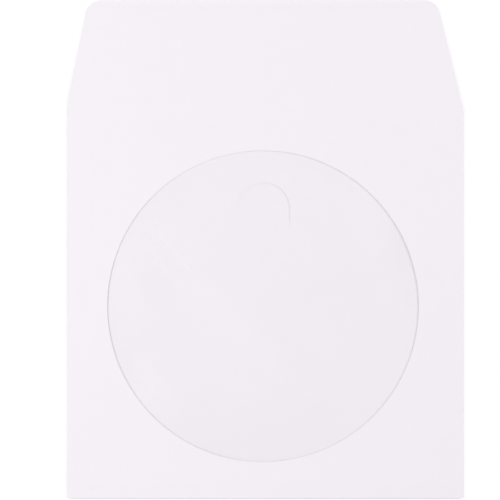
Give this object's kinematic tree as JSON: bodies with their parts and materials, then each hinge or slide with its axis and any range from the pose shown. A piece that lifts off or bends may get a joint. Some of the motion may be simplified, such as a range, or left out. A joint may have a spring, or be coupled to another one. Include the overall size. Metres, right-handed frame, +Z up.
{
  "type": "window paper sleeve",
  "caption": "Flat white paper sleeve that holds and shows a disc: round clear film window in front, tapered flap lying open, tuck tongue cut in the back panel.",
  "frame": {"origin": "middle of the open sleeve's outline from above, on the surface that the back panel lies on", "axes": "+Y from the bottom fold to the open flap's end, +Z up out of the window, +X to the right seen from the window side"},
  "size_m": [0.125, 0.1568, 0.0012],
  "materials": {
    "white_paper": "uncoated bleached wood-free paper of about 96 g/m2, cool white with a faint lavender cast",
    "clear_film": "clear glossy polypropylene window film, very slightly hazy"
  },
  "bodies": {
    "root": {"folded_paper": "white_paper", "window_film": "clear_film"}
  },
  "joints": []
}
